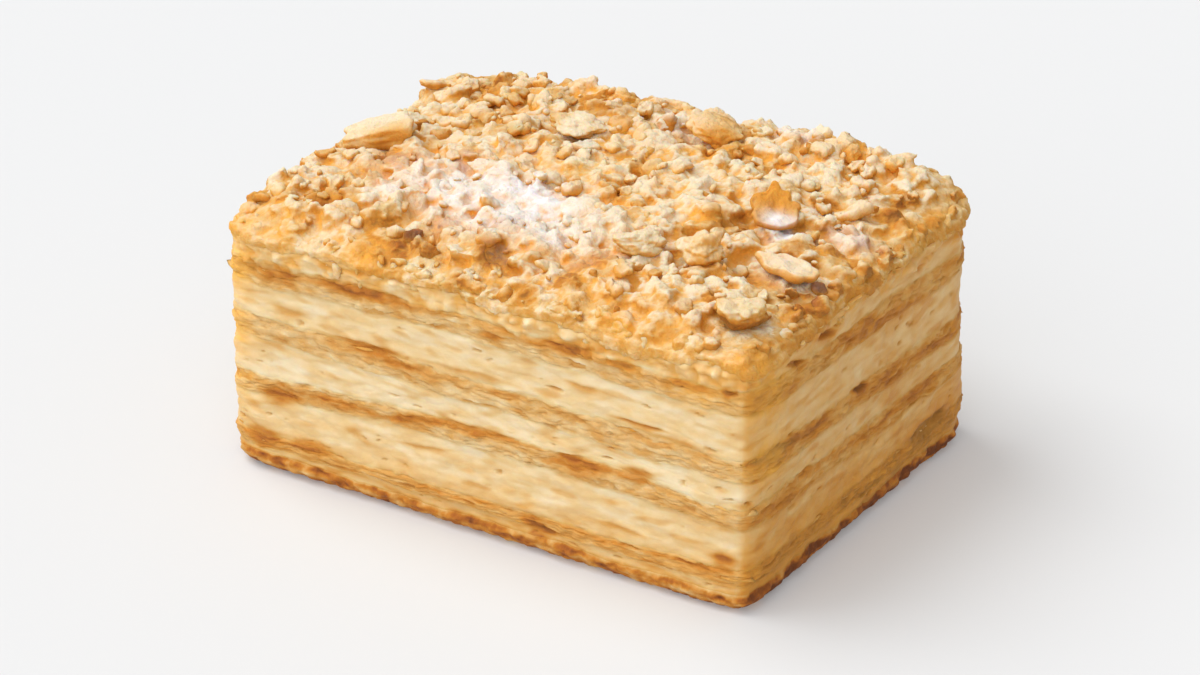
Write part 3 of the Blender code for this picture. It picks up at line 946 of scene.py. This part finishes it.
def shard(directions, seed, bends=None):
    """A broken leaf of pastry about 2 across: a bent plate with a jagged edge."""
    draw = np.random.default_rng(seed)
    along, across = bends or (draw.uniform(-1.4, 1.4), draw.uniform(-1.2, 1.2))
    outward = np.hypot(directions[:, 0], directions[:, 1])
    flat = directions[:, :2] / np.maximum(outward, 1e-9)[:, None]
    reach = np.arccos(np.clip(np.abs(directions[:, 2]), 0, 1)) / (math.pi / 2)
    turns = (np.arange(6) + draw.uniform(-0.35, 0.35, 6)) * math.tau / 6
    sides = np.stack([np.cos(turns), np.sin(turns)])
    cut = draw.uniform(0.6, 1.0, 6) / np.maximum(flat @ sides, 0.02)
    edge = (1 + np.sum(cut**-14.0, axis=1)) ** (-1 / 14)
    edge *= 1 + 0.30 * noise(directions * (1, 1, 0), (0.5,) * 3, seed)
    plane = flat * (reach**0.8 * edge)[:, None]
    thick = np.sign(directions[:, 2]) * np.sqrt(np.clip(1 - reach**6, 0, 1))
    thick *= 1 + 0.5 * noise(directions, (0.6,) * 3, seed + 1)
    bend = along * plane[:, 0] ** 2 + across * np.maximum(plane[:, 1], 0) ** 2
    bend += 0.5 * noise(directions * (1, 1, 0), (0.8,) * 3, seed + 2)
    return np.column_stack([plane, thick + bend])


def block(directions, seed):
    """A thick broken corner of dough about 2 across: a rounded box with a sloping top."""
    box = np.sum(np.abs(directions) ** 9, axis=1) ** (-1 / 9)
    points = directions * box[:, None]
    points[:, 2] *= 0.85 + 0.30 * points[:, 0]
    points[:, 1] *= 0.85 + 0.15 * points[:, 0]
    return points * (1 + 0.20 * noise(directions, (0.6,) * 3, seed))[:, None]


def turned(turn, tip, roll):
    """Rotation matrices from a roll about X, then a tip about Y, then a turn about Z."""
    made = None
    for angle, (first, second) in ((roll, (1, 2)), (tip, (2, 0)), (turn, (0, 1))):
        matrix = np.tile(np.eye(3), (len(angle), 1, 1))
        matrix[:, first, first] = matrix[:, second, second] = np.cos(angle)
        matrix[:, first, second] = -np.sin(angle)
        matrix[:, second, first] = np.sin(angle)
        made = matrix if made is None else matrix @ made
    return made


class Crumbs:
    """Crumbs of one kind, settled one by one and joined into one piece."""

    def __init__(self, name, level, form, forms, seed, slot="crumbs"):
        self.name = name
        self.slot = slot
        directions, self.faces = ball(level)
        self.forms = np.stack([form(directions, seed + 10 * n) for n in range(forms)])
        self.normals = np.stack([vertex_normals(form, self.faces) for form in self.forms])
        self.rows = []

    def add(self, centre, size, turn, tip, roll, tone):
        self.rows.append((*centre, *size, turn, tip, roll, tone))

    def scatter(self, count, sizes, flatness, tone, sink, limit, tilt):
        """Settle crumbs of random sizes over the whole cover."""
        low, high = sizes
        for _ in range(count):
            x, y = rng.uniform(-half_x, half_x), rng.uniform(-half_y, half_y)
            size = low + (high - low) * rng.random() ** 1.6
            a, b = size / 2 * rng.uniform(0.9, 1.3), size / 2 * rng.uniform(0.7, 1.0)
            c = size / 2 * rng.uniform(*flatness)
            turn, tip, roll = rng.uniform(0, math.tau), *rng.normal(0, tilt, 2)
            shade = np.clip(rng.normal(tone, 0.18), 0.0, 0.9)
            x, y = np.array(x), np.array(y)
            inward = 1 - (0.75 * b - 0.3) / half_y
            if outline.reach(x, y) > inward or cover.read(cover.taken, x, y) > 0.5:
                continue
            rise = max(c, 0.5 * a * abs(math.sin(tip)))
            z = cover.settle(x, y, (a + b) / 2, rise, sink, limit + rng.uniform(-0.9, 0.3))
            if z is not None:
                self.add((x, y, z), (a, b, c), turn, tip, roll, shade)

    def along_rim(self, count, sizes, hang, flatness):
        """Press crumbs into the upper edge of the cut sides."""
        low, high = sizes
        for _ in range(count):
            column = rng.integers(0, COLUMNS)
            x, y = outline.points[column]
            outward = outline.outward[column]
            rim = float(cover.read(cover.solid, np.array(x), np.array(y)))
            deep = hang * (0.9 + 1.5 * max(0, noise(np.array([[x, y, 0.0]]), (6, 6, 1), 91)[0]))
            down = rng.random()
            z = rim - 0.8 - deep * down
            size = (low + (high - low) * rng.random() ** 1.5) * (1 - 0.4 * down)
            a, b = size / 2 * rng.uniform(0.7, 1.15, 2)
            c = size / 2 * rng.uniform(*flatness)
            out = rng.uniform(-0.3, 0.6) - 0.85 * min(a, b)
            out -= 0.7 * smooth_step(1.65, 1.9, abs(x) / half_x + abs(y) / half_y)
            tone = np.clip(rng.normal(0.28, 0.16), 0.02, 0.9) * (1 - 0.4 * down)
            place = (x + outward[0] * out, y + outward[1] * out, z)
            self.add(place, (a, b, c), *rng.uniform(0, math.tau, 3), tone)

    def on_sides(self, count, lengths):
        """Stick the ends of broken leaves out of the pastry bands."""
        bands = [level for level, name in enumerate(LAYERS) if name.startswith("pastry")]
        for _ in range(count):
            column, level = rng.integers(0, COLUMNS), rng.choice(bands)
            (x, y), outward = outline.points[column], outline.outward[column]
            low, high = heights[level][column], heights[level + 1][column]
            z = low + (high - low) * rng.uniform(0.15, 1.0)
            a = rng.uniform(*lengths) / 2
            b, c = rng.uniform(0.8, 1.4), rng.uniform(0.14, 0.26)
            out = rng.uniform(0.0, 0.35) - b
            turn = math.atan2(outward[1], outward[0]) + math.pi / 2
            tip, roll = rng.normal(0, 0.07), rng.normal(0, 0.25)
            tone = np.clip(rng.normal(0.45, 0.12), 0.2, 0.7)
            place = (x + outward[0] * out, y + outward[1] * out, z)
            self.add(place, (a, b, c), turn, tip, roll, tone)

    def shapes(self):
        """All crumbs as arrays: points, triangles, and each point's direction and tone."""
        rows = np.array(self.rows)
        count, per = len(rows), self.forms.shape[1]
        pick = np.random.default_rng(count).integers(0, len(self.forms), count)
        size = rows[:, None, 3:6]
        spin = turned(rows[:, 6], rows[:, 7], rows[:, 8])
        local = np.einsum("nij,npj->npi", spin, self.forms[pick] * size)
        normals = np.einsum("nij,npj->npi", spin, self.normals[pick] / size)
        normals = (normals / np.linalg.norm(normals, axis=2)[:, :, None]).reshape(-1, 3)
        points = (local + rows[:, None, :3]).reshape(-1, 3)
        faces = (self.faces[None] + (np.arange(count) * per)[:, None, None]).reshape(-1, 3)
        scale = np.repeat(np.clip(rows[:, 5], 0.3, 0.7), per)
        scale *= 0.6 if self.slot == "flake" else 1
        points += normals * (roughness(points) * scale)[:, None]
        return points, faces, normals, np.repeat(rows[:, 9], per)

    def finish(self, ground, material):
        points, faces, normals, tones = self.shapes()
        if self.slot == "pastry":
            values = {"toast_and_shade": tones + 0.1 * noise(points, (1.6,) * 3, 89), "gold_and_shade": 0.3 + 0 * tones}
        else:
            # sunk places and steep sides get their painted shade in crumb_values
            values = crumb_values(points, tones, normals[:, 2], sunk(points, ground))
            values["sugar"] *= 0.6 if self.slot == "flake" else 1
        return make_piece(make_mesh(self.name, points, [], faces), material, values)


def roughness(points):
    rough = 0.26 * noise(points, (1.7,) * 3, 86) + 0.14 * noise(points, (0.8,) * 3, 87)
    return rough + 0.30 * lumps(points, 2.0, 88, 0.6) - 0.18


def bed_body():
    """The body of the cover: lumpy ground for the crumbs, out to the cut sides."""
    across, along, wall_rows = 180, 134, 10
    u, v = np.meshgrid(np.linspace(-1, 1, across), np.linspace(-1, 1, along), indexing="ij")
    spread = np.maximum(np.abs(u), np.abs(v)) * 0.992
    place = outline.towards(np.arctan2(v, u), outline.points) * spread[..., None]
    top = np.dstack([place, cover.read(bed_map, place[..., 0], place[..., 1])])
    number = np.arange(across * along).reshape(across, along)
    ring = np.concatenate([number[:-1, 0], number[-1, :-1], number[:0:-1, -1], number[0, :0:-1]])
    top = top.reshape(-1, 3)
    rim = top[ring]
    turn = np.arctan2(rim[:, 1] / half_y, rim[:, 0] / half_x)
    top_layer = outline.towards(turn, heights[-1])
    foot = top_layer - 1.6 - 2.2 * np.clip(0.3 + noise(rim, (5.0,) * 3, 75), 0, 1)
    outward = outline.towards(turn, outline.outward)
    points, rings = [top], [ring]
    for row in range(1, wall_rows + 1):
        share = row / wall_rows
        height = rim[:, 2] + (foot - rim[:, 2]) * share
        wall = np.column_stack([outline.towards(turn, outline.points), height])
        above = height - top_layer
        out = 0.5 * noise(wall, (3.2, 3.2, 2.2), 73) + 0.3 * noise(wall, (1.3, 1.3, 1.0), 74)
        out += 0.05 + 0.5 * smooth_step(3, 0, above) - 1.5 * smooth_step(-0.2, -2.4, above)
        wall[:, :2] += outward * out[:, None]
        points.append(wall)
        rings.append(np.arange(len(ring)) + len(top) + (row - 1) * len(ring))
    points = np.concatenate([*points, [[0, 0, foot.mean()]]])
    i, j = np.meshgrid(np.arange(across - 1), np.arange(along - 1), indexing="ij")
    quads = np.stack([number[i, j], number[i + 1, j], number[i + 1, j + 1], number[i, j + 1]], -1)
    quads = [quads.reshape(-1, 4)] + [band(low, up) for up, low in zip(rings, rings[1:])]
    quads = np.concatenate(quads)
    triangles = fan(len(points) - 1, rings[-1], False)
    return points, np.concatenate([quads[:, :3], quads[:, [0, 2, 3]], triangles])


def merged(name, bodies):
    """One closed skin round all these closed bodies, with a plain face for the cover's underside."""
    starts = np.cumsum([0] + [len(points) for points, _ in bodies])
    points = np.concatenate([points for points, _ in bodies])
    faces = np.concatenate([faces + start for (_, faces), start in zip(bodies, starts)])
    holder = bpy.data.objects.new(name, make_mesh(name + "_bodies", points, [], faces))
    bpy.context.scene.collection.objects.link(holder)
    modifier = holder.modifiers.new("skin", "REMESH")
    modifier.mode = "VOXEL"
    modifier.voxel_size = SKIN_DETAIL * MM
    skin = bmesh.new()
    skin.from_object(holder, bpy.context.evaluated_depsgraph_get())
    bpy.data.objects.remove(holder)
    places = np.array([v.co[:] for v in skin.verts]) / MM
    under = places[:, 2] < plane_at(heights[-1], places[:, :2]) - 0.3
    under &= outline.reach(places[:, 0], places[:, 1]) < 0.92
    skin.verts.index_update()
    hidden = [face for face in skin.faces if all(under[v.index] for v in face.verts)]
    bmesh.ops.delete(skin, geom=hidden, context="FACES")
    edge = [e for e in skin.edges if e.is_boundary]
    bmesh.ops.triangulate(skin, faces=bmesh.ops.holes_fill(skin, edges=edge, sides=0)["faces"])
    mesh = bpy.data.meshes.new(name)
    skin.to_mesh(mesh)
    skin.free()
    return mesh


def read_mesh(mesh):
    """A mesh's points in millimetres, their directions, and the edges between them."""
    points = np.empty(len(mesh.vertices) * 3)
    mesh.vertices.foreach_get("co", points)
    normals = np.empty(len(mesh.vertices) * 3)
    mesh.vertex_normals.foreach_get("vector", normals)
    edges = np.empty(len(mesh.edges) * 2, np.int32)
    mesh.edges.foreach_get("vertices", edges)
    return points.reshape(-1, 3) / MM, normals.reshape(-1, 3), edges.reshape(-1, 2)


def hollows(points, normals, edges, rounds):
    """How far each point lies under its surroundings, in millimetres."""
    count = len(points)
    ends = np.concatenate([edges, edges[:, ::-1]])
    near = np.bincount(ends[:, 0], minlength=count)
    smooth = points.copy()
    for _ in range(rounds):
        total = [np.bincount(ends[:, 0], smooth[ends[:, 1], k], count) for k in range(3)]
        smooth = 0.5 * smooth + 0.5 * np.stack(total, axis=1) / near[:, None]
    return ((smooth - points) * normals).sum(axis=1)


def grown_together(name, bodies, groups, ground):
    """Crumbs that have grown together into one lumpy piece, with their own colours."""
    mesh = merged(name, bodies + [group.shapes()[:2] for group in groups])
    points, normals, _ = read_mesh(mesh)
    rough = 0.45 * lumps(points, 3.4, 16, 0.5) + 0.30 * lumps(points, 1.6, 17, 0.5)
    rough += 0.20 * noise(points, (1.0,) * 3, 77)
    points += normals * (rough - 0.55)[:, None]
    mesh.vertices.foreach_set("co", (points * MM).astype(np.float32).ravel())
    points, normals, edges = read_mesh(mesh)
    deep = hollows(points, normals, edges, 7)
    points += normals * (0.8 * np.maximum(deep, 0))[:, None]  # fine crumbs fill the gaps
    mesh.vertices.foreach_set("co", (points * MM).astype(np.float32).ravel())
    deep = deep / 0.22
    rows = np.concatenate([np.array(group.rows) for group in groups])
    tree = KDTree(len(rows))
    for n, row in enumerate(rows):
        tree.insert(row[:3], n)
    tree.balance()
    tones = rows[[tree.find(point)[1] for point in points], 9]
    clump = cover.read(cover.clumps, points[:, 0], points[:, 1])
    # hollow drives the painted shade in crumb_values: deeper places are painted browner and more
    # golden
    hollow = np.clip(0.6 * deep + 0.3 * sunk(points, ground) - 0.35 * clump, -1, 1)
    values = crumb_values(points, tones, normals[:, 2], hollow)
    return make_piece(mesh, CRUMB_MATERIAL, values)


# The flakes that lie on top: form, half length, half width, half thickness, turn, tip and roll in
# degrees, bend along and across, tone, lift.
FLAKES = (
    (block, 5.4, 3.3, 2.0, 32, -10, 4, None, 0.24, -0.1),
    (shard, 6.4, 3.3, 0.9, -12, 6, -8, (0.8, 1.2), 0.38, -0.3),
    (shard, 4.4, 4.0, 0.7, 33, 2, 12, (0.9, 5.2), 0.78, 0.0),
    (chunk, 4.1, 3.8, 2.6, 10, 4, -8, None, 0.36, -0.4),
    (chunk, 4.1, 3.8, 2.6, 55, 6, -6, None, 0.40, -0.4),
    (chunk, 4.6, 3.2, 2.1, 50, 8, 0, None, 0.34, -0.5),
    (chunk, 5.0, 3.8, 1.9, 20, 12, 18, None, 0.42, 0.0),
    (chunk, 5.0, 3.7, 1.9, 5, 8, 0, None, 0.30, 0.0),
)


def flake(index):
    """One of the large flakes, in its solid's place."""
    form, length, width, thickness, turn, tip, roll, bends, tone, lift = FLAKES[index]
    node = f"flake_{index + 1}"
    low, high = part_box(node)
    centre = (Vector(low) + Vector(high)) / 2 / MM
    shape = (lambda directions, seed: form(directions, seed, bends)) if bends else form
    single = Crumbs(node + "_top", 5, shape, 1, 2000 + 10 * index, "flake")
    angles = (math.radians(angle) for angle in (turn, tip, roll))
    place = (centre.x, centre.y, centre.z + lift)
    single.add(place, (length, width, thickness), *angles, tone)
    cover.take(centre.x, centre.y, 0.6 * length, 0.6 * width, math.radians(turn))
    large_flakes.append((single, node))


large_flakes = []

for layer_level in range(len(LAYERS)):
    layer_piece(layer_level)

for _ in range(2200):  # the bed's own relief: small crumbs grown together
    spot = rng.uniform(-half_x, half_x), rng.uniform(-half_y, half_y)
    bump = rng.uniform(0.6, 1.8)
    cover.settle(*spot, bump, 0.6 * bump, 0.55, rng.uniform(-0.9, 0.3))
bed_map = np.where(cover.inside, cover.now, cover.solid - BED_DEPTH)

for number in range(len(FLAKES)):
    flake(number)
grown_big = Crumbs("grown_big", 2, chunk, 20, 100)
grown_shards = Crumbs("grown_shards", 2, shard, 16, 1200)
grown_middle = Crumbs("grown_middle", 2, chunk, 24, 300)
grown_rim = Crumbs("grown_rim", 2, chunk, 20, 900)
grown_big.scatter(460, (4.4, 9.0), (0.45, 0.7), 0.22, 0.46, 0.8, 0.3)
grown_shards.scatter(220, (4.2, 8.0), (0.26, 0.42), 0.20, 0.42, 0.7, 0.4)
grown_middle.scatter(1000, (2.0, 4.6), (0.5, 0.8), 0.22, 0.48, 0.7, 0.45)
grown_rim.along_rim(520, (1.8, 4.8), 3.4, (0.6, 1.0))
cover.take(-7, -14, 9, 5, math.radians(-15))  # the thickest sugar lies smooth
crumbs_middle = Crumbs("crumbs_middle", 3, chunk, 24, 300)
shards_small = Crumbs("shards_small", 3, shard, 20, 1500)
crumbs_fine = Crumbs("crumbs_fine", 2, chunk, 24, 600)
crumbs_middle.scatter(350, (2.5, 5.0), (0.5, 0.75), 0.24, 0.70, 0.7, 0.35)
shards_small.scatter(300, (2.6, 5.8), (0.24, 0.36), 0.22, 0.66, 0.8, 0.25)
crumbs_fine.scatter(400, (1.0, 1.9), (0.6, 0.9), 0.24, 0.65, 0.9, 0.5)
final_ground = blurred(cover.now, 5)
top = grown_together(
    "crumb_cover", [bed_body()], [grown_big, grown_shards, grown_middle], final_ground
)
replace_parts(top, "crumb_topping")
grown_together("crumb_rim", [], [grown_rim], final_ground)
for crumbs in (crumbs_middle, shards_small, crumbs_fine):
    crumbs.finish(final_ground, CRUMB_MATERIAL)
leaf_ends = Crumbs("leaf_ends", 2, shard, 20, 1800, "pastry")
leaf_ends.on_sides(130, (4.0, 9.0))
leaf_ends.finish(final_ground, SIDE_MATERIAL["pastry"])
for single, node in large_flakes:
    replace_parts(single.finish(final_ground, CRUMB_MATERIAL), node)


# ---------------------------------------------------------------- camera, light and floor


def make_camera():
    data = bpy.data.cameras.new("camera")
    data.lens = 135
    data.sensor_width = 36
    data.clip_end = 20
    camera = bpy.data.objects.new("camera", data)
    azimuth, elevation = math.radians(31.864), math.radians(27.091)
    camera.location = Vector((330.04, -531.43, 338.70)) * MM
    camera.rotation_euler = (math.pi / 2 - elevation, 0, azimuth)
    bpy.context.scene.collection.objects.link(camera)
    bpy.context.scene.camera = camera


def sun_light(name, towards, energy, angle):
    """Soft light from far away that travels in this direction."""
    data = bpy.data.lights.new(name, "SUN")
    data.energy = energy
    data.angle = math.radians(angle)
    light = bpy.data.objects.new(name, data)
    light.rotation_euler = Vector(towards).to_track_quat("-Z", "Y").to_euler()
    bpy.context.scene.collection.objects.link(light)


def make_stage():
    mesh = bpy.data.meshes.new("floor")
    mesh.from_pydata([(-6, -6, 0), (6, -6, 0), (6, 6, 0), (-6, 6, 0)], [], [(0, 1, 2, 3)])
    floor = bpy.data.objects.new("floor", mesh)
    bpy.context.scene.collection.objects.link(floor)
    material = bpy.data.materials.new("floor_paper")
    material.use_nodes = True
    shader = material.node_tree.nodes["Principled BSDF"]
    shader.inputs["Roughness"].default_value = 0.9
    shader.inputs["Base Color"].default_value = (0.571, 0.575, 0.580, 1)
    shader.inputs["Emission Color"].default_value = (1, 1, 1, 1)
    shader.inputs["Emission Strength"].default_value = 0.15
    shader.inputs["Specular IOR Level"].default_value = 0.0
    mesh.materials.append(material)
    world = bpy.data.worlds.new("studio")
    world.use_nodes = True
    background = world.node_tree.nodes["Background"]
    background.inputs["Color"].default_value = (1, 1, 1, 1)
    background.inputs["Strength"].default_value = 0.505
    bpy.context.scene.world = world
    sun_light("window", (1.0, 0.12, -1.5), 1.84, 45)
    sun_light("front_fill", (-0.02, 1.0, -0.84), 1.60, 80)
    bpy.context.scene.view_settings.view_transform = "Standard"


make_camera()
make_stage()
